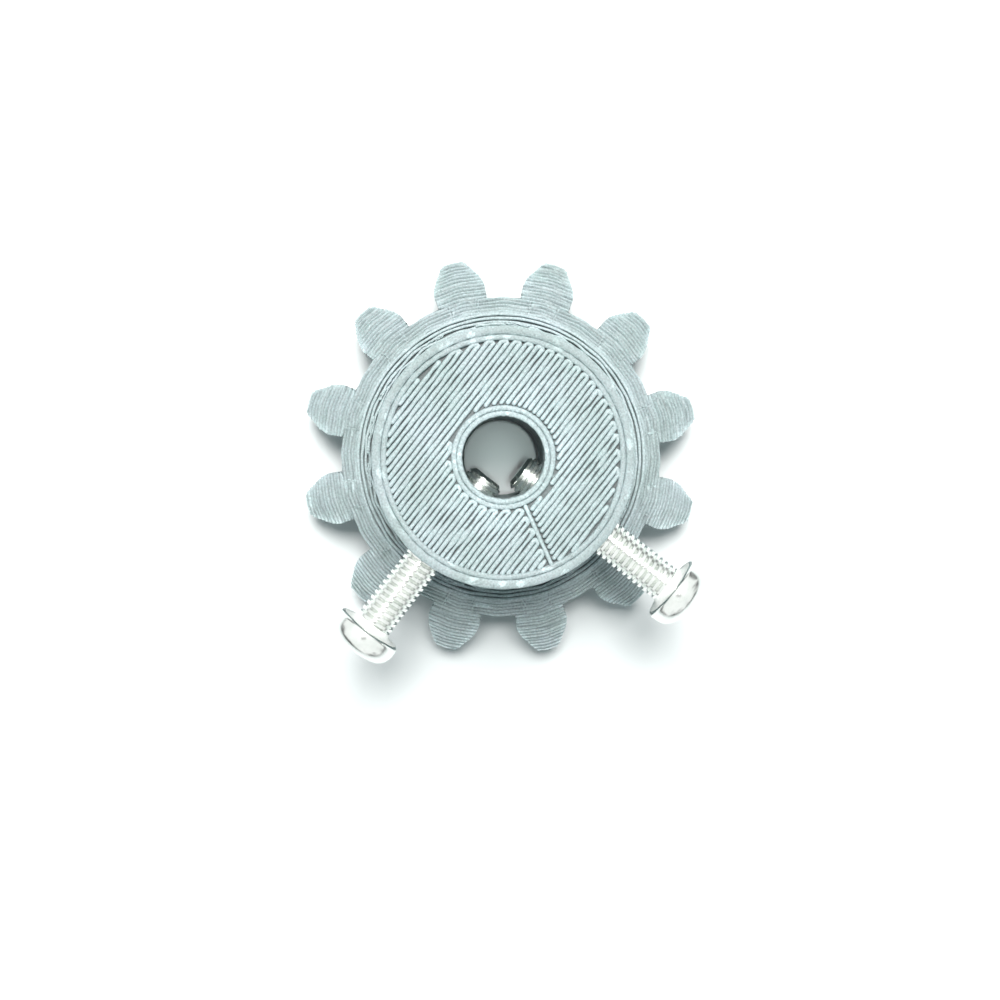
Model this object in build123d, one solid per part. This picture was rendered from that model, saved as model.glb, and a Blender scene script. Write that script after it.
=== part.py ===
from build123d import *
import math
import os

# A printed twelve-tooth straight bevel gear for an extruder drive, with two pan-head set
# screws in its hub. Millimetres and degrees. +Z is the bore axis, hub end up, and z = 0 is
# where the bore opens into the hollow toe. One screw lies along -Y and one along +X.

# Gear teeth
TEETH = 12
MODULE = 2.55
PRESSURE_ANGLE = 20.0
ROOT_CLEARANCE = 0.2
FACE_WIDTH = 7.0
BACK_THICKNESS = 1.5
TOE_LAND = 0.3
TOOTH_TURN = 21.8
FLANK_POINTS = 6
LOFT_START = 0.8
LOFT_END = 1.15

# Hub and bore
HUB_DIAMETER = 19.7
HUB_HEIGHT = 11.0
BORE_DIAMETER = 6.2
SCREW_DEPTH = 4.0
SCREW_HOLE_DIAMETER = 3.08
RELIEF_DEPTH = 0.2
RELIEF_WIDTH = 3.6

# Set screws, M3 with a 0.5 mm pitch
SCREW_LENGTH = 14.8
THREAD_DIAMETER = 2.95
THREAD_PITCH = 0.5
THREAD_DEPTH = 0.3
GROOVE_LEFT = 0.4
GROOVE_FLOOR = 0.1
TIP_CHAMFER = 0.35
HEAD_DIAMETER = 5.4
HEAD_HEIGHT = 2.05
HEAD_RIM = 0.75
CROWN_DIAMETER = 3.0
RECESS_SPAN = 2.7
RECESS_WIDTH = 0.62
RECESS_DEPTH = 1.25
RECESS_FLOOR_SPAN = 1.2
RECESS_FLOOR_WIDTH = 0.43
FRONT_TIP = 1.88
RIGHT_TIP = 1.59

# Worked out from the above. Heights here are from the pitch cone's apex, and lowering a
# solid by root_height brings it to the part's own frame.
pitch_radius = MODULE * TEETH / 2
tooth_angle = 360 / TEETH
cone_distance = pitch_radius * math.sqrt(2)
apex_to_apex = 2 * pitch_radius
addendum = MODULE
dedendum = MODULE + ROOT_CLEARANCE
toe_scale = 1 - FACE_WIDTH / cone_distance
tip_height = pitch_radius - addendum / math.sqrt(2)
root_radius = pitch_radius - dedendum / math.sqrt(2)
root_height = pitch_radius + dedendum / math.sqrt(2)
base_height = tip_height * toe_scale + TOE_LAND
hub_radius = HUB_DIAMETER / 2
shelf_radius = root_radius - BACK_THICKNESS
hub_foot = apex_to_apex - shelf_radius
hub_top = hub_foot + HUB_HEIGHT
screw_height = hub_top - SCREW_DEPTH
beyond = 2 * apex_to_apex


def flank(scale):
    """One flank of a tooth at this share of full size: (across, up) points, from root to tip."""
    base = cone_distance * math.cos(math.radians(PRESSURE_ANGLE))
    tip = cone_distance + addendum
    thickness = math.asin(pitch_radius * math.sin(math.radians(tooth_angle / 4)) / cone_distance)
    at_pitch = math.tan(math.radians(PRESSURE_ANGLE)) - math.radians(PRESSURE_ANGLE)
    points = []
    for step in range(FLANK_POINTS):
        radius = base + (tip - base) * step / (FLANK_POINTS - 1)
        turn = math.acos(base / radius)
        half = thickness + at_pitch - (math.tan(turn) - turn)
        points.append((radius * math.sin(half) * scale, radius * math.cos(half) * scale))
    foot = cone_distance - dedendum - MODULE / 2
    foot_half = math.atan2(*points[0])
    return (foot * math.sin(foot_half) * scale, foot * math.cos(foot_half) * scale), points


def tooth_section(scale):
    """The tooth's section square to the pitch cone, at this share of the cone distance."""
    foot, points = flank(scale)
    left = [(-across, up) for across, up in points]
    edges = [
        Line(foot, points[0]),
        Spline(*points),
        Line(points[-1], left[-1]),
        Spline(*reversed(left)),
        Line(left[0], (-foot[0], foot[1])),
        Line((-foot[0], foot[1]), foot),
    ]
    outward = Vector(1, 0, -1).normalized()
    plane = Plane(
        origin=(0, 0, apex_to_apex * scale),
        x_dir=Vector(0, 1, 0),
        z_dir=Vector(0, 1, 0).cross(outward),
    )
    return plane * make_face(Wire(edges))


def pyramid(low, low_radius, high, high_radius, turn):
    """A frustum with as many flats as twice the teeth, its corners at these radii."""
    sections = []
    for height, radius in ((low, low_radius), (high, high_radius)):
        outline = RegularPolygon(radius, 2 * TEETH, rotation=turn)
        sections.append(Plane.XY.offset(height) * outline)
    return loft(sections, ruled=True)


def bevel_gear():
    """Teeth on a faceted blank between the back cone and the hollow toe, then hub and bores."""
    low = base_height - BACK_THICKNESS
    high = hub_foot
    root_slope = root_radius / root_height
    corner = TOOTH_TURN + tooth_angle / 4
    blank = pyramid(low, low * root_slope, high, high * root_slope, corner)
    sections = [tooth_section(toe_scale * LOFT_START), tooth_section(LOFT_END)]
    tooth = loft(sections, ruled=True)
    for index in range(TEETH):
        blank += Rot(0, 0, TOOTH_TURN + index * tooth_angle) * tooth
    back = pyramid(low, apex_to_apex - low, high, apex_to_apex - high, TOOTH_TURN)
    body = blank & back
    body += Pos(0, 0, hub_top) * Cylinder(
        hub_radius, HUB_HEIGHT + BACK_THICKNESS, align=(Align.CENTER, Align.CENTER, Align.MAX)
    )
    toe_edge = apex_to_apex * toe_scale
    dish = Solid.make_cone(
        toe_edge - low, toe_edge - root_height, root_height - low, Plane.XY.offset(low)
    )
    body -= dish
    body -= Pos(0, 0, base_height) * Box(
        beyond, beyond, beyond, align=(Align.CENTER, Align.CENTER, Align.MAX)
    )
    body -= Cylinder(BORE_DIAMETER / 2, beyond)
    body -= Pos(0, 0, screw_height) * Cylinder(BORE_DIAMETER / 2 + RELIEF_DEPTH, RELIEF_WIDTH)
    hole = Cylinder(
        SCREW_HOLE_DIAMETER / 2, HUB_DIAMETER, align=(Align.CENTER, Align.CENTER, Align.MIN)
    )
    body -= Pos(0, 0, screw_height) * Rot(90, 0, 0) * hole
    body -= Pos(0, 0, screw_height) * Rot(0, 90, 0) * hole
    return Pos(0, 0, -root_height) * body


def screw():
    """One set screw along +Z: tip at z = 0, underside of the head at SCREW_LENGTH."""
    crest = THREAD_DIAMETER / 2
    valley = crest - THREAD_DEPTH
    outline = [(0, 0), (crest - TIP_CHAMFER, 0), (crest, TIP_CHAMFER)]
    turns = int((SCREW_LENGTH - TIP_CHAMFER) / THREAD_PITCH) - 1
    for turn in range(turns):
        start = TIP_CHAMFER + THREAD_PITCH * (turn + 0.5)
        outline.append((crest, start))
        floor = start + THREAD_PITCH * GROOVE_LEFT
        outline.append((valley, floor))
        outline.append((valley, floor + THREAD_PITCH * GROOVE_FLOOR))
        outline.append((crest, floor + THREAD_PITCH * (GROOVE_FLOOR + GROOVE_LEFT)))
    outline.append((crest, SCREW_LENGTH))
    rim = HEAD_DIAMETER / 2
    top = SCREW_LENGTH + HEAD_HEIGHT
    crown = CROWN_DIAMETER / 2
    shank = Polyline(*outline, (rim, SCREW_LENGTH), (rim, SCREW_LENGTH + HEAD_RIM))
    dome = TangentArc((rim, SCREW_LENGTH + HEAD_RIM), (crown, top), tangent=(0, 1))
    closing = Polyline((crown, top), (0, top), (0, 0))
    section = Plane.XZ * make_face(shank.edges() + dome.edges() + closing.edges())
    body = revolve(section, Axis.Z)
    slot_bottom = top - RECESS_DEPTH
    for turn in (0, 90):
        wide = Plane.XY.offset(top) * Rectangle(RECESS_SPAN, RECESS_WIDTH)
        narrow = Plane.XY.offset(slot_bottom) * Rectangle(RECESS_FLOOR_SPAN, RECESS_FLOOR_WIDTH)
        body -= Rot(0, 0, 45 + turn) * loft([narrow, wide], ruled=True)
    return body


def placed_screw(tip_radius, turned):
    """A set screw in the hub with its tip this far from the bore axis, pointing outward."""
    return Pos(0, 0, screw_height - root_height) * turned * Pos(0, 0, tip_radius) * screw()


os.makedirs("parts", exist_ok=True)
parts = {
    "bevel_gear": bevel_gear(),
    "set_screw_front": placed_screw(FRONT_TIP, Rot(90, 0, 0)),
    "set_screw_right": placed_screw(RIGHT_TIP, Rot(0, 90, 0)),
}
for name, part in parts.items():
    export_step(part, f"parts/{name}.step")
    print(name, round(part.volume, 3), part.bounding_box())
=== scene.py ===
import math
import bpy
import numpy as np
from mathutils import Matrix, Vector


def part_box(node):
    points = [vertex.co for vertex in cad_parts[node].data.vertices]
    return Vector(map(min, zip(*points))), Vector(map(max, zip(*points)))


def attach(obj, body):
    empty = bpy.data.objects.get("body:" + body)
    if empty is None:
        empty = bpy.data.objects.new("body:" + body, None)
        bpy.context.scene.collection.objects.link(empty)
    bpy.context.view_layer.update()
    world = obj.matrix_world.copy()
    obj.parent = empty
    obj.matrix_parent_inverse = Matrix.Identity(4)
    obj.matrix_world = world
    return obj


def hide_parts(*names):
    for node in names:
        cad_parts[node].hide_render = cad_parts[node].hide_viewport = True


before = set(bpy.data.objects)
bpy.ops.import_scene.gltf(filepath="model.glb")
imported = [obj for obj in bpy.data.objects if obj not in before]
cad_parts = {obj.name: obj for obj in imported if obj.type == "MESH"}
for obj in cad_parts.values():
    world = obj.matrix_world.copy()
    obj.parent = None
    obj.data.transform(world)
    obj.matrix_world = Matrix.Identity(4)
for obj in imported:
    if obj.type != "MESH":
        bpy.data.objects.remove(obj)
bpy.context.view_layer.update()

# A printed bevel gear with two set screws. Lengths below are in millimetres and angles in
# degrees; every mesh is written in metres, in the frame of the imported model. +Z is the bore
# axis, hub end up. Heights in the tooth functions are measured from the pitch cone's apex.

MM = 0.001
rng = np.random.default_rng(12)

# Teeth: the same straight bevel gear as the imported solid
TEETH = 12
MODULE = 2.55
PRESSURE_ANGLE = 20.0
ROOT_CLEARANCE = 0.2
FACE_WIDTH = 7.0
BACK_THICKNESS = 1.5
TOOTH_TURN = 21.8

# Hub, bore and screws
HUB_RADIUS = 9.85
BORE_RADIUS = 3.1
SCREW_HOLE_RADIUS = 1.54
THREAD_PITCH = 0.5
THREAD_DEPTH = 0.25
THREAD_RADIUS = 1.475
TIP_CHAMFER = 0.35
HEAD_RADIUS = 2.7
HEAD_HEIGHT = 2.05
HEAD_RIM = 0.75
CROWN_RADIUS = 1.5
RECESS_DEPTH = 1.25
HEAD_EDGE = 0.3
TIP_FLAT = 0.6
COLLAR = 0.5
COLLAR_RADIUS = 2.05

# How it was printed, hub face down
LAYER = 0.30
RIM_BEADS = ((9.84, 9.16), (9.15, 8.73))
BORE_BEADS = ((3.07, 3.49), (3.50, 3.90))
FILL_PITCH = 0.393
FILL_WIDTH = 0.35
TRAVEL_WIDTH = 0.32
BED_LAYER = 0.32
FILL_DEPTH = 0.44
CONE_CREASE = 0.34
SIDE_CREASE = 0.06

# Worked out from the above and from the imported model
low_corner, high_corner = (Vector(corner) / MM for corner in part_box("bevel_gear"))
toe_z = low_corner.z
top_z = high_corner.z
pitch_radius = MODULE * TEETH / 2
cone_distance = pitch_radius * math.sqrt(2)
apex_to_apex = 2 * pitch_radius
root_cut = (MODULE + ROOT_CLEARANCE) / math.sqrt(2)
root_height = pitch_radius + root_cut
root_slope = (pitch_radius - root_cut) / root_height
toe_edge = apex_to_apex * (1 - FACE_WIDTH / cone_distance)
tip_distance = cone_distance + MODULE
shelf_radius = pitch_radius - root_cut - BACK_THICKNESS
shelf_z = apex_to_apex - shelf_radius - root_height
face_z = top_z - BED_LAYER
screw_z = {name: sum(corner[2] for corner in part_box(name)) / 2 / MM
           for name in ("set_screw_front", "set_screw_right")}

# The gear's mesh: columns for a flank, a tip and a gap, and rings inside each layer
FLANK_COLUMNS = 8
TIP_COLUMNS = 7
GAP_COLUMNS = 5
BEAD_STEPS = (0.33, 0.67)
ROOT_MARGIN = 0.02
FOOT_SPREAD = 1.35
FOOT_TAPER = 0.75
UNDER_BEADS = 0.02


class Build:
    """Vertices and faces of one mesh, gathered in millimetres."""

    def __init__(self):
        self.vertices = []
        self.faces = []

    def add(self, points):
        start = len(self.vertices)
        self.vertices.extend(tuple(float(value) for value in point) for point in points)
        return list(range(start, len(self.vertices)))

    def stitch(self, lower, upper):
        """Faces between two closed rings; one may have twice as many points as the other."""
        if len(lower) == len(upper):
            for index in range(len(lower)):
                after = (index + 1) % len(lower)
                self.faces.append((lower[index], lower[after], upper[after], upper[index]))
            return
        fine, coarse = (lower, upper) if len(lower) > len(upper) else (upper, lower)
        for index in range(len(coarse)):
            first = fine[2 * index]
            middle = fine[2 * index + 1]
            last = fine[(2 * index + 2) % len(fine)]
            after = coarse[(index + 1) % len(coarse)]
            before = coarse[index]
            group = [(first, middle, before), (middle, last, after), (middle, after, before)]
            if fine is upper:
                group = [tuple(reversed(face)) for face in group]
            self.faces.extend(group)

    def object(self, name, sharp_angle=50.0):
        faces = {}
        for face in self.faces:
            corners = tuple(dict.fromkeys(face))
            if len(corners) > 2:
                faces.setdefault(tuple(sorted(corners)), []).append(corners)
        kept = [group[0] for group in faces.values() if len(group) == 1]
        mesh = bpy.data.meshes.new(name)
        mesh.from_pydata([Vector(v) * MM for v in self.vertices], [], kept)
        mesh.validate()
        piece = bpy.data.objects.new(name, mesh)
        bpy.context.scene.collection.objects.link(piece)
        shade(piece, sharp_angle)
        return piece


def shade(piece, sharp_angle):
    piece.data.shade_smooth()
    piece.data.set_sharp_from_angle(angle=math.radians(sharp_angle))


def half_angle(radius):
    """Half a tooth's angle about the back cone's apex, at these distances from it."""
    base = cone_distance * math.cos(math.radians(PRESSURE_ANGLE))
    quarter = math.sin(math.radians(90 / TEETH))
    thickness = math.asin(pitch_radius * quarter / cone_distance)
    at_pitch = math.tan(math.radians(PRESSURE_ANGLE)) - math.radians(PRESSURE_ANGLE)
    turn = np.arccos(base / np.maximum(radius, base))
    return thickness + at_pitch - (np.tan(turn) - turn)


def flat_sided(corner_radius, angle, corner_angle):
    """Radius of a polygon with two flats a tooth, at an angle from a tooth's middle, in radians."""
    step = math.pi / TEETH
    within = np.mod(angle - corner_angle, step) - step / 2
    return corner_radius * math.cos(step / 2) / np.cos(within)


def flank_at(height):
    """A flank's radii and angles at this height, foot to tip, and where it starts and ends."""
    distance = np.linspace(cone_distance - 2 * MODULE, tip_distance, 120)
    half = half_angle(distance)
    up = distance * np.cos(half) / math.sqrt(2)
    scale = height / (apex_to_apex - up)
    outward = scale * up
    across = scale * distance * np.sin(half)
    return np.hypot(outward, across), np.arctan2(across, outward)


def dish_radius(height):
    return toe_edge - height


def tooth_ring(height):
    """One tooth's share of the outline at this height: radii, angles, the dish's angles, which
    points lie on the dish because the gap is open there, and which on the back cone."""
    step = 2 * math.pi / TEETH
    radii, angles = flank_at(height)
    root = flat_sided(root_slope * height, angles, step / 4)
    floor = np.maximum(root, dish_radius(height))
    back = flat_sided(apex_to_apex - height, angles, 0)
    below_root = height < root_height - ROOT_MARGIN
    over = ()
    if below_root:
        start = int(np.argmax(radii > floor))
        share = (floor[start - 1] - radii[start - 1]) / (
            radii[start] - radii[start - 1] - floor[start] + floor[start - 1])
        first = start - 1 + share
        over = np.nonzero(radii > back)[0]
        last = len(radii) - 1.0
        if len(over):
            end = int(over[0])
            share = (back[end - 1] - radii[end - 1]) / (
                radii[end] - radii[end - 1] - back[end] + back[end - 1])
            last = end - 1 + share
        spread = np.linspace(first, max(last, first + 0.01), FLANK_COLUMNS + 1)
        flank_angle = np.interp(spread, np.arange(len(radii)), angles)
        flank_radius = np.interp(spread, np.arange(len(radii)), radii)
    else:
        foot = half_angle(cone_distance - 2 * MODULE) / math.sqrt(2) * FOOT_SPREAD
        flank_angle = np.linspace(foot, FOOT_TAPER * foot, FLANK_COLUMNS + 1)
        flank_radius = flat_sided(apex_to_apex - height, flank_angle, 0)
    tip_angle = np.linspace(-flank_angle[-1], flank_angle[-1], TIP_COLUMNS + 1)[1:-1]
    land = flank_radius[-1] * math.cos(flank_angle[-1]) / np.cos(tip_angle)
    tip_radius = np.minimum(land, flat_sided(apex_to_apex - height, tip_angle, 0))
    if not below_root or len(over):
        tip_radius = flat_sided(apex_to_apex - height, tip_angle, 0)
    gap_angle = np.linspace(flank_angle[0], step - flank_angle[0], GAP_COLUMNS + 3)[1:-1]
    gap_root = flat_sided(root_slope * height, gap_angle, step / 4)
    gap_back = flat_sided(apex_to_apex - height, gap_angle, 0)
    gap_radius = np.minimum(np.maximum(gap_root, dish_radius(height)), gap_back)
    ring_radius = np.concatenate([flank_radius, tip_radius, flank_radius[::-1], gap_radius])
    ring_angle = np.concatenate([-flank_angle, tip_angle, flank_angle[::-1], gap_angle])
    count = len(ring_radius)
    tooth_count = count - len(gap_radius)
    on_dish = np.zeros(count, bool)
    on_dish[tooth_count:] = gap_root <= dish_radius(height)
    foot_open = flat_sided(root_slope * height, flank_angle[0], step / 4) <= dish_radius(height)
    on_dish[0] = on_dish[tooth_count - 1] = foot_open
    inner_angle = ring_angle.copy()
    inner_angle[:tooth_count] = np.linspace(-flank_angle[0], flank_angle[0], tooth_count)
    on_back = ring_radius > flat_sided(apex_to_apex - height, ring_angle, 0) - 0.005
    return ring_radius, ring_angle, inner_angle, on_dish, on_back


def full_ring(height):
    """The whole outline at this height, as x, y points, the dish's points beside them, which
    of them are shared, and which lie on the back cone."""
    radius, angle, inner_angle, on_dish, on_back = tooth_ring(height)
    turns = math.radians(TOOTH_TURN) + np.arange(TEETH) * 2 * math.pi / TEETH
    outer = np.concatenate([
        np.stack([radius * np.cos(angle + turn), radius * np.sin(angle + turn)], 1)
        for turn in turns])
    dish = dish_radius(height)
    inner = np.concatenate([
        np.stack([dish * np.cos(inner_angle + turn), dish * np.sin(inner_angle + turn)], 1)
        for turn in turns])
    return outer, inner, np.tile(on_dish, TEETH), np.tile(on_back, TEETH)


def outward_normals(points):
    along = np.roll(points, -1, 0) - np.roll(points, 1, 0)
    length = np.maximum(np.hypot(along[:, 0], along[:, 1]), 1e-6)
    return np.stack([along[:, 1], -along[:, 0]], 1) / length[:, None]


def wander(count, size, waves=14, fastest=70):
    """A smooth closed run of small random offsets."""
    turn = np.arange(count) / count * 2 * math.pi
    total = np.zeros(count)
    for _ in range(waves):
        rate = rng.integers(2, fastest)
        total += np.sin(rate * turn + rng.uniform(0, 2 * math.pi)) * rng.uniform(0.3, 1)
    return total * size / math.sqrt(waves / 3)


def layer_levels(low, high):
    """Rings for the layers between two heights: (height, crease depth share, layer number)."""
    count = round((high - low) / LAYER)
    thick = (high - low) / count
    levels = []
    for number in range(count):
        start = low + number * thick
        levels.append((start, 1.0, number))
        levels.extend((start + share * thick, 0.0, number) for share in BEAD_STEPS)
    levels.append((high, 1.0, count - 1))
    return levels


def circle(radius, count, turn=0.0):
    angle = np.arange(count) / count * 2 * math.pi + turn
    return np.stack([radius * np.cos(angle), radius * np.sin(angle)], 1)


def gear_skin():
    """The printed gear as one closed skin with its layer lines, short of the bed layer's beads."""
    build = Build()
    toe_height = toe_z + root_height
    shelf_height = shelf_z + root_height
    levels = layer_levels(toe_height, shelf_height)
    layers = levels[-1][2] + 1
    columns = len(full_ring(toe_height)[0])
    wobble = [wander(columns, 0.018) + rng.normal(0, 0.022) for _ in range(layers)]
    deep = rng.uniform(0.6, 1.4, layers)
    outer_rings = []
    inner_rings = []
    for height, depth, number in levels:
        outer, inner, shared, on_back = full_ring(height)
        z = height - root_height
        if height in (toe_height, shelf_height):
            depth = 0.2
        crease = np.where(on_back, CONE_CREASE * deep[number], SIDE_CREASE)
        crease = crease * (1 + wander(columns, 0.4))
        offset = wobble[number] - crease * depth
        lean = np.where(on_back, math.sqrt(0.5), 0.0)
        level = z + offset * lean
        moved = outer + outward_normals(outer) * (offset * np.sqrt(1 - lean ** 2))[:, None]
        # the dish keeps its true place, and the wall outside it keeps some thickness
        in_dish = height < root_height - 0.001
        if in_dish:
            reach = np.hypot(moved[:, 0], moved[:, 1])
            least = dish_radius(height) + 0.03
            moved *= np.maximum(1, least / reach)[:, None]
            moved[shared] = inner[shared]
        ring = build.add(np.column_stack([moved, np.where(shared, z, level)]))
        outer_rings.append(ring)
        if in_dish:
            inner_ring = build.add(np.column_stack([inner, np.full(len(inner), z)]))
            inner_ring = [ring[i] if shared[i] else inner_ring[i] for i in range(len(ring))]
            inner_rings.append(inner_ring)
    for lower, upper in zip(outer_rings, outer_rings[1:]):
        build.stitch(lower, upper)
    # the toe: tooth ends, with each open gap's shared points closing on themselves
    build.stitch(inner_rings[0], outer_rings[0])
    for lower, upper in zip(inner_rings, inner_rings[1:]):
        build.stitch(upper, lower)
    face_ring = build_hub(build, outer_rings[-1], columns)
    build_bore(build, inner_rings[-1], face_ring, columns)
    return build


def build_hub(build, shelf_ring, columns):
    """The floor of the trench at the hub's foot, then its side. Returns the ring at the face."""
    turn = math.radians(TOOTH_TURN) - half_angle(cone_distance)
    count = columns // 2
    levels = layer_levels(shelf_z, face_z)
    floor_z = shelf_z - SHELF_DROP
    previous = shelf_ring
    for radius, z in ((shelf_radius - 0.1, floor_z), (HUB_RADIUS, floor_z)):
        ring = build.add(np.column_stack([circle(radius, count, turn), np.full(count, z)]))
        build.stitch(previous, ring)
        previous = ring
    for z, depth, number in levels[1:]:
        offset = wander(count, 0.008) - SIDE_CREASE * depth
        if depth > 0.5:
            offset = offset + rng.normal(0, 0.008)
        radius = HUB_RADIUS - UNDER_BEADS + offset
        unit = circle(1.0, count, turn)
        ring = build.add(np.column_stack([unit * radius[:, None], np.full(count, z)]))
        build.stitch(previous, ring)
        previous = ring
    return previous


def build_bore(build, dish_ring, face_ring, columns):
    """The flat floor of the dish, the bore, and the hub's face sunk under the beads on it."""
    turn = math.radians(TOOTH_TURN) - half_angle(cone_distance)
    half = columns // 2
    count = columns // 4
    floor_radius = toe_edge - root_height
    edge = build.add(np.column_stack([circle(floor_radius, half, turn), np.zeros(half)]))
    build.stitch(edge, dish_ring)
    mouth = circle(BORE_RADIUS + UNDER_BEADS, count, turn)
    previous = build.add(np.column_stack([mouth, np.zeros(count)]))
    build.stitch(previous, edge)
    layers = round(face_z / LAYER)
    for number in range(1, 2 * layers + 1):
        z = face_z * number / (2 * layers)
        depth = 1.0 if number % 2 == 0 else 0.0
        radius = BORE_RADIUS + SIDE_CREASE * depth + wander(count, 0.008)
        unit = circle(1.0, count, turn)
        ring = build.add(np.column_stack([unit * radius[:, None], np.full(count, z)]))
        build.stitch(ring, previous)
        previous = ring
    bottom = top_z - FILL_DEPTH
    inside, outside = BORE_BEADS[1][1], RIM_BEADS[1][1]
    for radius, z in ((inside, face_z), (inside + UNDER_BEADS, bottom),
                      (outside - UNDER_BEADS, bottom), (outside, face_z)):
        ring = build.add(np.column_stack([circle(radius, half, turn), np.full(half, z)]))
        build.stitch(ring, previous)
        previous = ring
    build.stitch(face_ring, previous)


def cylinder_cutter(radius, start, end, sides=64):
    """A plain cylinder along +Z, used only to cut a hole."""
    build = Build()
    low = build.add(np.column_stack([circle(radius, sides), np.full(sides, start)]))
    high = build.add(np.column_stack([circle(radius, sides), np.full(sides, end)]))
    build.stitch(low, high)
    build.faces.append(tuple(reversed(low)))
    build.faces.append(tuple(high))
    return build.object("cutter")


def cut(piece, cutter, sharp_angle):
    """Cut one mesh out of another, and drop the cutter."""
    modifier = piece.modifiers.new("cut", "BOOLEAN")
    modifier.operation = "DIFFERENCE"
    modifier.solver = "MANIFOLD"
    modifier.object = cutter
    bpy.context.view_layer.update()
    graph = bpy.context.evaluated_depsgraph_get()
    mesh = bpy.data.meshes.new_from_object(piece.evaluated_get(graph))
    piece.modifiers.clear()
    old = piece.data
    piece.data = mesh
    bpy.data.meshes.remove(old)
    bpy.data.objects.remove(cutter)
    shade(piece, sharp_angle)


# How a bead rounds off: its section's share and how far out that is, in widths
NEAR_END = (0.72, 0.32)
FAR_END = (0.3, 0.46)


def bead(build, path, width, height, closed=False, sides=10, flat=0.62, rough=0.0):
    """A flattened bead of plastic laid along a path, with rounded ends."""
    path = np.asarray(path, float)
    count = len(path)
    if closed:
        along = np.roll(path, -1, 0) - np.roll(path, 1, 0)
    else:
        along = np.gradient(path, axis=0)
    along[:, 2] = 0
    along /= np.maximum(np.linalg.norm(along, axis=1), 1e-9)[:, None]
    side = np.stack([along[:, 1], -along[:, 0], np.zeros(count)], 1)
    turn = (np.arange(sides) + 0.5) / sides * 2 * math.pi
    wide = np.sign(np.cos(turn)) * np.abs(np.cos(turn)) ** flat / 2
    tall = np.sign(np.sin(turn)) * np.abs(np.sin(turn)) ** flat / 2
    swell = 1 + rough * wander(count, 1.0, 10, max(6, count // 5))
    rings = []
    for index in range(count):
        section = (path[index] + np.outer(wide * width * swell[index], side[index])
                   + np.outer(tall * height, (0, 0, 1)))
        rings.append(section)
    if not closed:
        for end, forward in ((0, -1), (-1, 1)):
            middle = path[end]
            base = rings[end]
            near, far = (middle + (base - middle) * share + along[end] * forward * width * out
                         for share, out in (NEAR_END, FAR_END))
            if end == 0:
                rings = [far, near] + rings
            else:
                rings = rings + [near, far]
    rows = [build.add(ring) for ring in rings]
    pairs = list(zip(rows, rows[1:]))
    if closed:
        pairs.append((rows[-1], rows[0]))
    for first, second in pairs:
        for index in range(sides):
            after = (index + 1) % sides
            build.faces.append((first[index], second[index], second[after], first[after]))
    if not closed:
        build.faces.append(tuple(rows[0]))
        build.faces.append(tuple(reversed(rows[-1])))


def ring_path(radius, z, count=180, radius_wander=0.0, z_wander=0.0, fastest=30):
    angle = np.arange(count) / count * 2 * math.pi
    reach = radius + (wander(count, radius_wander, 14, fastest) if radius_wander else 0)
    level = z + (wander(count, z_wander, 14, fastest) if z_wander else 0)
    return np.column_stack([reach * np.cos(angle), reach * np.sin(angle), np.zeros(count) + level])


# The shelf's loops: inset from the shelf's edge, lift, how far each strays, and width
SHELF_BEADS = ((0.15, 0.00, 0.012, 0.27), (0.47, 0.00, 0.020, 0.26), (0.78, -0.05, 0.040, 0.24),
               (1.07, 0.07, 0.060, 0.23), (1.42, -0.02, 0.060, 0.32), (1.75, 0.10, 0.080, 0.30))
SHELF_DROP = 0.35
LOOSE_ENDS = 16

# The one travel line across the hub's face, and the rings that bound the fill
TRAVEL_ANGLE = 332.0
FILL_OUTER = 8.56
FILL_INNER = 4.10
FREE_REACH = 0.12
TRAVEL_CLEARANCE = 0.38
TRAVEL_MARGIN = 0.4

# The fill: where its lines start across the face, which are joined, and how they bend
FILL_SHIFT = 0.11
SHORTEST_FILL = 0.5
JOIN_OVERLAP = 0.3
JOIN_REACH = 0.8
POINT_SPACING = 0.3
HAIRPIN_STEPS = 6
HAIRPIN_RISE = 0.5


def fill_spans(x):
    """The stretches along Y that the fill covers at this x, each as its low and high end."""
    turn = math.radians(TRAVEL_ANGLE)
    outer = math.sqrt(max(FILL_OUTER ** 2 - x * x, 0))
    free = math.sqrt(max((FILL_OUTER + FREE_REACH) ** 2 - x * x, 0))
    inner = math.sqrt(max(FILL_INNER ** 2 - x * x, 0))
    level = math.tan(turn) * x
    gap = TRAVEL_CLEARANCE / math.cos(turn)
    travel_start = FILL_INNER * math.cos(turn) - TRAVEL_MARGIN
    travel_end = FILL_OUTER * math.cos(turn) + TRAVEL_MARGIN
    spans = [(-free, outer)] if inner == 0 else [(-free, -inner), (inner, outer)]
    if travel_start < x < travel_end:
        cut_spans = []
        for low, high in spans:
            if low < level - gap and high > level + gap:
                cut_spans += [(low, level - gap), (level + gap, high)]
            elif high <= level - gap or low >= level + gap:
                cut_spans.append((low, high))
            elif high > level + gap:
                cut_spans.append((level + gap, high))
            else:
                cut_spans.append((low, level - gap))
        spans = cut_spans
    return [(low, high) for low, high in spans if high - low > SHORTEST_FILL]


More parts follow.
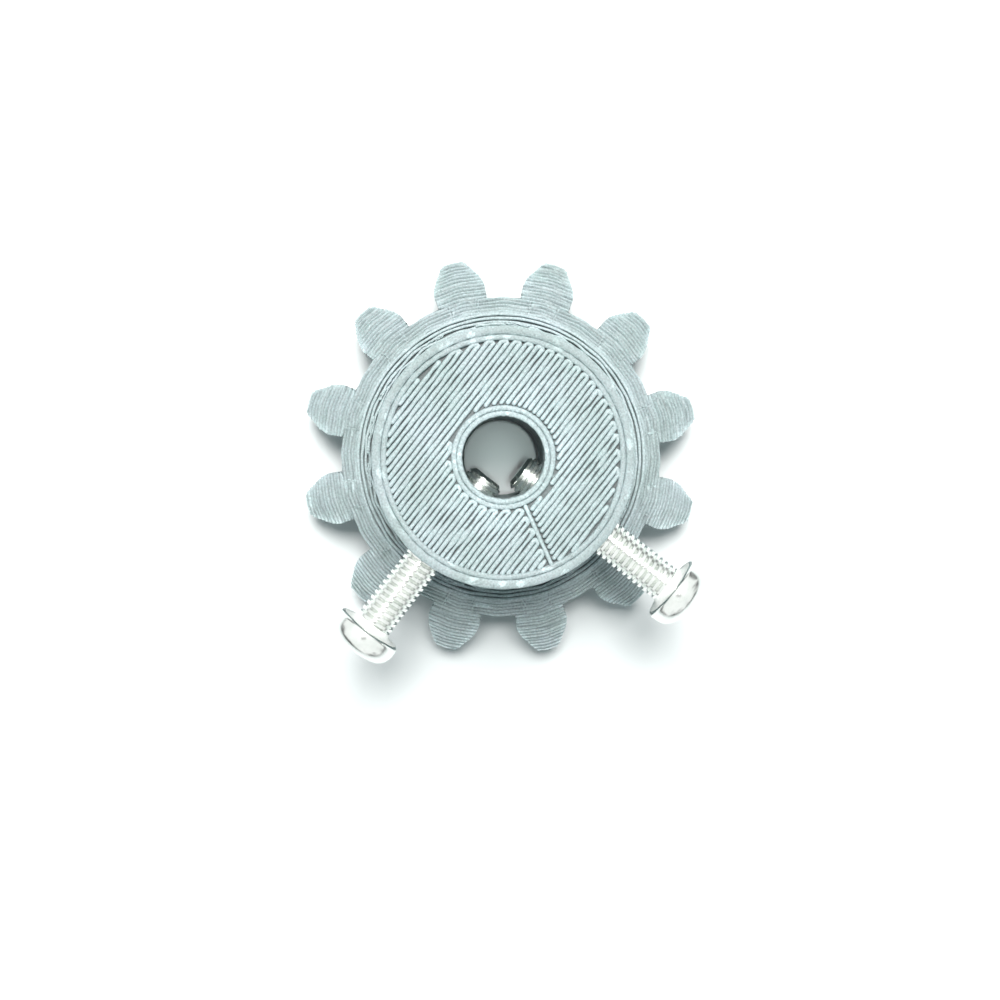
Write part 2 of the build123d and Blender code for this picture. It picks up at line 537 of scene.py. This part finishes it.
def fill_paths():
    """Paths of the solid fill: neighbouring lines joined in pairs by a hairpin at their +Y end."""
    count = int(FILL_OUTER / FILL_PITCH)
    open_runs = []
    finished = []
    for number in range(-count - 1, count + 2):
        x = number * FILL_PITCH + FILL_SHIFT
        if abs(x) >= FILL_OUTER:
            continue
        carried = []
        for low, high in fill_spans(x):
            run = None
            for candidate in open_runs:
                touches = (candidate["low"] < high - JOIN_OVERLAP
                           and candidate["high"] > low + JOIN_OVERLAP)
                joined = touches and candidate["up"] and candidate not in carried
                if joined and abs(candidate["high"] - high) < JOIN_REACH:
                    run = candidate
                    break
            if run is None:
                run = {"points": line_points(x, low, high), "up": True}
            else:
                open_runs.remove(run)
                run["points"] += hairpin(run["points"][-1], (x, high))
                run["points"] += line_points(x, high, low)
                run["up"] = False
            run["low"], run["high"] = low, high
            carried.append(run)
        finished += open_runs
        open_runs = carried
    return [run["points"] for run in finished + open_runs]


def line_points(x, start, end):
    count = max(3, int(abs(end - start) / POINT_SPACING) + 1)
    return [(x, float(y)) for y in np.linspace(start, end, count)]


def hairpin(start, end):
    """The bend between two neighbouring fill lines."""
    middle_x = (start[0] + end[0]) / 2
    radius = (end[0] - start[0]) / 2
    points = []
    for step in range(1, HAIRPIN_STEPS):
        share = step / HAIRPIN_STEPS
        turn = math.pi * (1 - share)
        level = start[1] * (1 - share) + end[1] * share
        points.append((middle_x + radius * math.cos(turn),
                       level + HAIRPIN_RISE * radius * math.sin(turn)))
    return points


def hub_face_beads():
    """The bed layer: two rim loops, two bore loops, the fill and the one travel line."""
    build = Build()
    middle = top_z - BED_LAYER / 2 - 0.005
    for edges in RIM_BEADS + BORE_BEADS:
        path = ring_path(sum(edges) / 2, middle, 300, 0.010, 0.006, 80)
        width = abs(edges[0] - edges[1])
        bead(build, path, width, BED_LAYER, closed=True, sides=16, flat=0.85, rough=0.035)
    for points in fill_paths():
        path = np.array([(x, y, top_z - FILL_DEPTH / 2 - 0.005) for x, y in points])
        path[:, 0] += wander(len(path), 0.010, 10, max(6, len(path) // 4))
        path[:, 2] += wander(len(path), 0.006, 10, max(6, len(path) // 4)) - 0.01
        rough = 0.22 if rng.random() < 0.15 else 0.09
        bead(build, path, FILL_WIDTH, FILL_DEPTH * 0.96, flat=0.8, rough=rough)
    angle = math.radians(TRAVEL_ANGLE)
    reach = np.linspace(FILL_INNER - 0.1, FILL_OUTER + 0.15, 14)
    path = np.column_stack([reach * math.cos(angle), reach * math.sin(angle),
                            np.full(14, top_z - FILL_DEPTH / 2)])
    bead(build, path, TRAVEL_WIDTH, FILL_DEPTH, rough=0.08)
    return build.object("hub_face_beads", 60)


def shelf_beads():
    """The loops that were bridged over air round the hub's foot: neat outside, loose inside."""
    build = Build()
    for radius, lift, stray, width in SHELF_BEADS:
        path = ring_path(shelf_radius - radius, shelf_z + lift, 260, stray, stray, 40)
        bead(build, path, width, 0.24, closed=True, sides=8, flat=0.9, rough=0.04 + stray)
    # short ends of plastic that came loose beside the hub
    for start in rng.uniform(0, 2 * math.pi, LOOSE_ENDS):
        count = 9
        turn = start + np.linspace(0, rng.uniform(0.05, 0.22), count)
        reach = shelf_radius - rng.uniform(0.75, 1.0) + wander(count, 0.05, 6, 8)
        lift = shelf_z + rng.uniform(0.2, 0.45) + wander(count, 0.06, 6, 8)
        path = np.column_stack([reach * np.cos(turn), reach * np.sin(turn), lift])
        bead(build, path, rng.uniform(0.12, 0.22), 0.16, sides=8, flat=0.95, rough=0.15)
    return build.object("shelf_beads", 60)


def thread_radius(z, angle, length):
    """A 60 degree thread with flat crests and sharp V valleys, cut down at the tip and flared into a
    collar under the head.
    """
    phase = np.mod(z / THREAD_PITCH - angle / (2 * math.pi), 1.0)
    away = np.abs(phase - 0.5) * 2
    rise = np.clip(away / 0.5, 0, 1)
    radius = THREAD_RADIUS - THREAD_DEPTH + THREAD_DEPTH * rise
    if z > length - COLLAR:
        share = (z - length + COLLAR) / COLLAR
        radius = np.full(len(angle), THREAD_RADIUS + (COLLAR_RADIUS - THREAD_RADIUS) * share ** 2.5)
    return np.minimum(radius, THREAD_RADIUS - TIP_CHAMFER + max(z, 0))


def screw_build(length, columns=56, rows_per_pitch=14):
    """A pan-head screw along +Z with its tip at 0 and the head's underside at this length."""
    build = Build()
    angle = np.arange(columns) / columns * 2 * math.pi
    level = np.ones(columns)
    rows = int(length / THREAD_PITCH * rows_per_pitch)
    tip = build.add([(0, 0, 0)])[0]
    inner = build.add(np.column_stack([circle(TIP_FLAT, columns), level * 0.0]))
    for index in range(columns):
        build.faces.append((tip, inner[(index + 1) % columns], inner[index]))
    previous = inner
    for row in range(rows + 1):
        z = length * row / rows
        radius = thread_radius(z, angle, length)
        ring = build.add(np.column_stack([radius * np.cos(angle), radius * np.sin(angle),
                                          level * z]))
        build.stitch(previous, ring)
        previous = ring
    top = length + HEAD_HEIGHT
    profile = [(HEAD_RADIUS - HEAD_EDGE, length)]
    for step in range(1, 4):
        turn = math.radians(30 * step)
        profile.append((HEAD_RADIUS - HEAD_EDGE + HEAD_EDGE * math.sin(turn),
                        length + HEAD_EDGE - HEAD_EDGE * math.cos(turn)))
    profile.append((HEAD_RADIUS, length + HEAD_RIM))
    rise = HEAD_HEIGHT - HEAD_RIM
    for step in range(1, 13):
        turn = math.radians(90 * step / 12)
        profile.append((CROWN_RADIUS + (HEAD_RADIUS - CROWN_RADIUS) * math.cos(turn),
                        length + HEAD_RIM + (rise - 0.06) * math.sin(turn)))
    profile.append((CROWN_RADIUS * 0.5, top - 0.015))
    for radius, z in profile:
        ring = build.add(np.column_stack([circle(radius, columns), np.full(columns, z)]))
        build.stitch(previous, ring)
        previous = ring
    crown = build.add([(0, 0, top)])[0]
    for index in range(columns):
        build.faces.append((previous[index], previous[(index + 1) % columns], crown))
    return build, top


# The recess cutter's sections: height from the head's top, arm reach and half an arm's width
RECESS_LEVELS = ((0.3, 1.52, 0.36), (-0.35, 1.16, 0.3), (-RECESS_DEPTH, 0.55, 0.2),
                 (-RECESS_DEPTH - 0.2, 0.12, 0.1))


def recess_cutter(top):
    """A cross with tapering arms, for the driver's recess."""
    build = Build()
    rings = []
    for rise, reach, half in RECESS_LEVELS:
        corner = half * 1.25
        points = []
        for quarter in range(4):
            turn = math.radians(90 * quarter)
            for x, y in ((corner, -corner), (half * 1.7, -half), (reach, -half), (reach, half),
                         (half * 1.7, half)):
                points.append((x * math.cos(turn) - y * math.sin(turn),
                               x * math.sin(turn) + y * math.cos(turn), top + rise))
        rings.append(build.add(points))
    for upper, lower in zip(rings, rings[1:]):
        build.stitch(lower, upper)
    build.faces.append(tuple(rings[0]))
    build.faces.append(tuple(reversed(rings[-1])))
    return build.object("cutter")


def screw(name, turned, tip, spin):
    """One set screw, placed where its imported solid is."""
    low, high = (Vector(corner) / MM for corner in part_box(name))
    size = high - low
    length = max(size) - HEAD_HEIGHT
    build, top = screw_build(length)
    piece = build.object(name + "_threaded", 40)
    cutter = recess_cutter(top)
    cut(piece, cutter, 40)
    # the face under the head and the collar beside it are duller than the rest
    for face in piece.data.polygons:
        height = face.center.z / MM
        reach = math.hypot(face.center.x, face.center.y) / MM
        face.material_index = int(length - COLLAR < height < length + 0.01 and reach > THREAD_RADIUS)
    place = (Matrix.Translation((0, 0, screw_z[name] * MM)) @ turned
             @ Matrix.Translation((0, 0, tip * MM)) @ Matrix.Rotation(math.radians(spin), 4, "Z"))
    piece.data.transform(place)
    return piece


def node(tree, kind, **settings):
    made = tree.nodes.new(kind)
    for key, value in settings.items():
        setattr(made, key, value)
    return made


def printed_plastic():
    """Blue-grey PLA: cloudy colour, fine grain, painted shade in the creases between layers and
    beads, and a painted highlight on each bead's crest.
    """
    material = bpy.data.materials.new("grey_blue_pla")
    material.use_nodes = True
    tree = material.node_tree
    tree.nodes.clear()
    out = node(tree, "ShaderNodeOutputMaterial")
    shader = node(tree, "ShaderNodeBsdfPrincipled")
    shader.inputs["Specular IOR Level"].default_value = 0.5
    shader.inputs["IOR"].default_value = 1.46
    shader.inputs["Subsurface Weight"].default_value = 0.12
    shader.inputs["Subsurface Radius"].default_value = (0.5, 0.9, 0.8)
    shader.inputs["Subsurface Scale"].default_value = 0.0008
    place = node(tree, "ShaderNodeTexCoord")
    cloud = node(tree, "ShaderNodeTexNoise")
    cloud.inputs["Scale"].default_value = 260.0
    cloud.inputs["Detail"].default_value = 4.0
    ramp = node(tree, "ShaderNodeValToRGB")
    ramp.color_ramp.elements[0].position = 0.35
    ramp.color_ramp.elements[0].color = (0.350, 0.432, 0.432, 1)
    ramp.color_ramp.elements[1].position = 0.68
    ramp.color_ramp.elements[1].color = (0.410, 0.486, 0.505, 1)
    speck = node(tree, "ShaderNodeTexNoise")
    speck.inputs["Scale"].default_value = 6500.0
    speck.inputs["Detail"].default_value = 4.0
    speck.inputs["Roughness"].default_value = 0.65
    grain = node(tree, "ShaderNodeMapRange")
    grain.inputs["From Min"].default_value = 0.3
    grain.inputs["From Max"].default_value = 0.7
    grain.inputs["To Min"].default_value = 0.68
    grain.inputs["To Max"].default_value = 1.32
    # painted shade and painted highlight: pointiness darkens the colour in the hollow creases and
    # lightens it on the convex crests
    shape = node(tree, "ShaderNodeNewGeometry")
    crease_shade_crest_highlight = node(tree, "ShaderNodeMapRange")
    crease_shade_crest_highlight.inputs["From Min"].default_value = 0.42
    crease_shade_crest_highlight.inputs["From Max"].default_value = 0.58
    crease_shade_crest_highlight.inputs["To Min"].default_value = 0.15
    crease_shade_crest_highlight.inputs["To Max"].default_value = 1.22
    both = node(tree, "ShaderNodeMath", operation="MULTIPLY")
    mottled = node(tree, "ShaderNodeVectorMath", operation="SCALE")
    speck_ramp = node(tree, "ShaderNodeMapRange")
    speck_ramp.inputs["To Min"].default_value = 0.32
    speck_ramp.inputs["To Max"].default_value = 0.60
    bump = node(tree, "ShaderNodeBump")
    bump.inputs["Strength"].default_value = 1.0
    bump.inputs["Distance"].default_value = 0.00005
    link = tree.links.new
    link(place.outputs["Object"], cloud.inputs["Vector"])
    link(place.outputs["Object"], speck.inputs["Vector"])
    link(cloud.outputs["Fac"], ramp.inputs["Fac"])
    link(speck.outputs["Fac"], grain.inputs["Value"])
    link(ramp.outputs["Color"], mottled.inputs["Vector"])
    link(shape.outputs["Pointiness"], crease_shade_crest_highlight.inputs["Value"])
    link(grain.outputs["Result"], both.inputs[0])
    link(crease_shade_crest_highlight.outputs["Result"], both.inputs[1])
    link(both.outputs["Value"], mottled.inputs["Scale"])
    link(mottled.outputs["Vector"], shader.inputs["Base Color"])
    link(speck.outputs["Fac"], speck_ramp.inputs["Value"])
    link(speck_ramp.outputs["Result"], shader.inputs["Roughness"])
    link(speck.outputs["Fac"], bump.inputs["Height"])
    link(bump.outputs["Normal"], shader.inputs["Normal"])
    link(shader.outputs["BSDF"], out.inputs["Surface"])
    return material


def plated_steel(name, metallic, smoothest, roughest):
    """Zinc plate: slightly uneven colour and gloss, with fine handling marks."""
    material = bpy.data.materials.new(name)
    material.use_nodes = True
    tree = material.node_tree
    tree.nodes.clear()
    out = node(tree, "ShaderNodeOutputMaterial")
    shader = node(tree, "ShaderNodeBsdfPrincipled")
    shader.inputs["Metallic"].default_value = metallic
    place = node(tree, "ShaderNodeTexCoord")
    cloud = node(tree, "ShaderNodeTexNoise")
    cloud.inputs["Scale"].default_value = 900.0
    cloud.inputs["Detail"].default_value = 5.0
    ramp = node(tree, "ShaderNodeValToRGB")
    ramp.color_ramp.elements[0].position = 0.3
    ramp.color_ramp.elements[0].color = (0.80, 0.83, 0.80, 1)
    ramp.color_ramp.elements[1].position = 0.7
    ramp.color_ramp.elements[1].color = (0.95, 0.96, 0.94, 1)
    gloss = node(tree, "ShaderNodeMapRange")
    gloss.inputs["To Min"].default_value = smoothest
    gloss.inputs["To Max"].default_value = roughest
    bump = node(tree, "ShaderNodeBump")
    bump.inputs["Strength"].default_value = 0.2
    bump.inputs["Distance"].default_value = 0.00002
    link = tree.links.new
    link(place.outputs["Object"], cloud.inputs["Vector"])
    link(cloud.outputs["Fac"], ramp.inputs["Fac"])
    link(ramp.outputs["Color"], shader.inputs["Base Color"])
    link(cloud.outputs["Fac"], gloss.inputs["Value"])
    link(gloss.outputs["Result"], shader.inputs["Roughness"])
    link(cloud.outputs["Fac"], bump.inputs["Height"])
    link(bump.outputs["Normal"], shader.inputs["Normal"])
    link(shader.outputs["BSDF"], out.inputs["Surface"])
    return material


def pale_floor():
    material = bpy.data.materials.new("pale_floor")
    material.use_nodes = True
    tree = material.node_tree
    shader = tree.nodes["Principled BSDF"]
    shader.inputs["Roughness"].default_value = 0.6
    place = node(tree, "ShaderNodeTexCoord")
    grain = node(tree, "ShaderNodeTexNoise")
    grain.inputs["Scale"].default_value = 40.0
    ramp = node(tree, "ShaderNodeValToRGB")
    ramp.color_ramp.elements[0].color = (0.74, 0.775, 0.775, 1)
    ramp.color_ramp.elements[1].color = (0.79, 0.815, 0.815, 1)
    tree.links.new(place.outputs["Object"], grain.inputs["Vector"])
    tree.links.new(grain.outputs["Fac"], ramp.inputs["Fac"])
    tree.links.new(ramp.outputs["Color"], shader.inputs["Base Color"])
    return material


FLOOR_REACH = 1500.0


def floor():
    build = Build()
    corners = build.add([(x * FLOOR_REACH, y * FLOOR_REACH, toe_z)
                         for x, y in ((-1, -1), (1, -1), (1, 1), (-1, 1))])
    build.faces.append(tuple(corners))
    piece = build.object("floor")
    piece.data.materials.append(pale_floor())


# Camera: how the gear is turned in the view, how far the view leans, and where it aims
VIEW_TURN = 37.8
VIEW_LEAN = (-1.82, -0.83)
VIEW_DISTANCE = 108.0
VIEW_OFFSET = (0.26, 3.16)
LENS = 52.25


def view_matrix():
    lean = (Matrix.Rotation(math.radians(VIEW_LEAN[0]), 4, "X")
            @ Matrix.Rotation(math.radians(VIEW_LEAN[1]), 4, "Y"))
    turned = Matrix.Rotation(math.radians(VIEW_TURN), 4, "Z") @ lean
    seen = Vector((VIEW_OFFSET[0], VIEW_OFFSET[1], -VIEW_DISTANCE))
    place = Vector((0, 0, top_z)) - turned.to_3x3() @ seen
    return Matrix.Translation(place * MM) @ turned


def camera():
    data = bpy.data.cameras.new("camera")
    data.lens = LENS
    data.clip_start = 0.005
    data.clip_end = 5
    holder = bpy.data.objects.new("camera", data)
    holder.matrix_world = view_matrix()
    bpy.context.scene.collection.objects.link(holder)
    bpy.context.scene.camera = holder


# Lights: how far the key and the sun lean toward the top of the view
WARM_WHITE = (1.0, 0.985, 0.97)
KEY_LEAN = 0.34
KEY_DISTANCE = 320
KEY_SIZE = 125
SUN_LEAN = 0.27
SUN_SPREAD = 14
BORE_LAMP_HEIGHT = 140.0


def light(name, kind, power, colour):
    """A light and the object that places it."""
    data = bpy.data.lights.new(name, kind)
    data.energy = power
    data.color = colour
    holder = bpy.data.objects.new(name, data)
    bpy.context.scene.collection.objects.link(holder)
    return data, holder


def lights():
    """Soft light from the top of the view, and a small lamp straight down the bore."""
    turn = math.radians(VIEW_TURN + 90)
    view_up = Vector((math.cos(turn), math.sin(turn), 0))
    above = Vector((0, 0, 1))
    key, holder = light("key", "AREA", 1.30, WARM_WHITE)
    key.size = KEY_SIZE * MM
    toward = (view_up * KEY_LEAN + above).normalized()
    holder.location = toward * KEY_DISTANCE * MM
    holder.rotation_euler = toward.to_track_quat("Z", "Y").to_euler()
    sun, holder = light("sun", "SUN", 0.95, WARM_WHITE)
    sun.angle = math.radians(SUN_SPREAD)
    holder.rotation_euler = (view_up * SUN_LEAN + above).to_track_quat("Z", "Y").to_euler()
    lamp, holder = light("bore_lamp", "SPOT", 0.6, (0.86, 1.0, 0.98))
    lamp.spot_size = 2 * math.atan(BORE_RADIUS * 1.05 / BORE_LAMP_HEIGHT)
    lamp.spot_blend = 0.3
    lamp.shadow_soft_size = 4 * MM
    holder.location = Vector((0, 0, top_z + BORE_LAMP_HEIGHT)) * MM


def room():
    """A pale room. What is matt gets its light mostly from above, and what shines sees a bright
    ceiling with one dark patch straight overhead, and a dark horizon."""
    world = bpy.data.worlds.new("room")
    world.use_nodes = True
    tree = world.node_tree
    tree.nodes.clear()
    out = node(tree, "ShaderNodeOutputWorld")
    place = node(tree, "ShaderNodeTexCoord")
    parts = node(tree, "ShaderNodeSeparateXYZ")
    ray = node(tree, "ShaderNodeLightPath")
    soft = node(tree, "ShaderNodeBackground")
    soft.inputs["Color"].default_value = (0.80, 0.97, 1.0, 1)
    height = node(tree, "ShaderNodeMapRange")
    height.inputs["To Min"].default_value = 0.02
    height.inputs["To Max"].default_value = 0.46
    shiny = node(tree, "ShaderNodeBackground")
    shiny.inputs["Color"].default_value = (0.97, 1.0, 0.99, 1)
    furniture = node(tree, "ShaderNodeTexNoise")
    furniture.inputs["Scale"].default_value = 2.6
    furniture.inputs["Detail"].default_value = 1.0
    uneven = node(tree, "ShaderNodeMath", operation="MULTIPLY_ADD")
    uneven.inputs[1].default_value = 1.3
    lowered = node(tree, "ShaderNodeMath", operation="SUBTRACT")
    lowered.inputs[1].default_value = 0.65
    horizon = node(tree, "ShaderNodeMapRange")
    horizon.inputs["From Min"].default_value = 0.06
    horizon.inputs["From Max"].default_value = 0.34
    horizon.inputs["To Min"].default_value = 0.10
    horizon.inputs["To Max"].default_value = 1.08
    patch = node(tree, "ShaderNodeMapRange")
    patch.inputs["From Min"].default_value = math.cos(math.radians(12))
    patch.inputs["From Max"].default_value = math.cos(math.radians(8))
    patch.inputs["To Min"].default_value = 1.0
    patch.inputs["To Max"].default_value = 0.1
    shade_off = node(tree, "ShaderNodeMath", operation="MULTIPLY")
    backdrop = node(tree, "ShaderNodeBackground")
    backdrop.inputs["Color"].default_value = (0.90, 0.95, 0.95, 1)
    backdrop.inputs["Strength"].default_value = 0.65
    lit = node(tree, "ShaderNodeMixShader")
    seen = node(tree, "ShaderNodeMixShader")
    link = tree.links.new
    link(place.outputs["Generated"], parts.inputs["Vector"])
    link(parts.outputs["Z"], height.inputs["Value"])
    link(place.outputs["Generated"], furniture.inputs["Vector"])
    link(furniture.outputs["Fac"], uneven.inputs[0])
    link(parts.outputs["Z"], uneven.inputs[2])
    link(uneven.outputs["Value"], lowered.inputs[0])
    link(lowered.outputs["Value"], horizon.inputs["Value"])
    link(parts.outputs["Z"], patch.inputs["Value"])
    link(height.outputs["Result"], soft.inputs["Strength"])
    link(horizon.outputs["Result"], shade_off.inputs[0])
    link(patch.outputs["Result"], shade_off.inputs[1])
    link(shade_off.outputs["Value"], shiny.inputs["Strength"])
    link(ray.outputs["Is Glossy Ray"], lit.inputs[0])
    link(soft.outputs["Background"], lit.inputs[1])
    link(shiny.outputs["Background"], lit.inputs[2])
    link(ray.outputs["Is Camera Ray"], seen.inputs[0])
    link(lit.outputs["Shader"], seen.inputs[1])
    link(backdrop.outputs["Background"], seen.inputs[2])
    link(seen.outputs["Shader"], out.inputs["Surface"])
    bpy.context.scene.world = world
    bpy.context.scene.view_settings.view_transform = "Standard"


plastic = printed_plastic()
steel = plated_steel("bright_zinc", 1.0, 0.13, 0.26)
dull_steel = plated_steel("dull_zinc", 0.3, 0.45, 0.7)

to_front = Matrix.Rotation(math.radians(90), 4, "X")
to_right = Matrix.Rotation(math.radians(90), 4, "Y")

gear = gear_skin().object("bevel_gear_printed", 55)
for turned in (to_front, to_right):
    cutter = cylinder_cutter(SCREW_HOLE_RADIUS, 1.0, HUB_RADIUS + 1.5)
    cutter.data.transform(Matrix.Translation((0, 0, screw_z["set_screw_front"] * MM)) @ turned)
    cut(gear, cutter, 55)
gear.data.materials.clear()
gear.data.materials.append(plastic)
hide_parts("bevel_gear")
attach(gear, "gear")

for piece in (hub_face_beads(), shelf_beads()):
    piece.data.materials.append(plastic)
    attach(piece, "gear")

front_tip = -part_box("set_screw_front")[1][1] / MM
right_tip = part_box("set_screw_right")[0][0] / MM
for name, body, turned, tip, spin in (
    ("set_screw_front", "front_screw", to_front, front_tip, 20),
    ("set_screw_right", "right_screw", to_right, right_tip, 50),
):
    piece = screw(name, turned, tip, spin)
    marks = [face.material_index for face in piece.data.polygons]
    piece.data.materials.clear()
    piece.data.materials.append(steel)
    piece.data.materials.append(dull_steel)
    piece.data.polygons.foreach_set("material_index", marks)
    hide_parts(name)
    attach(piece, body)

floor()
camera()
lights()
room()
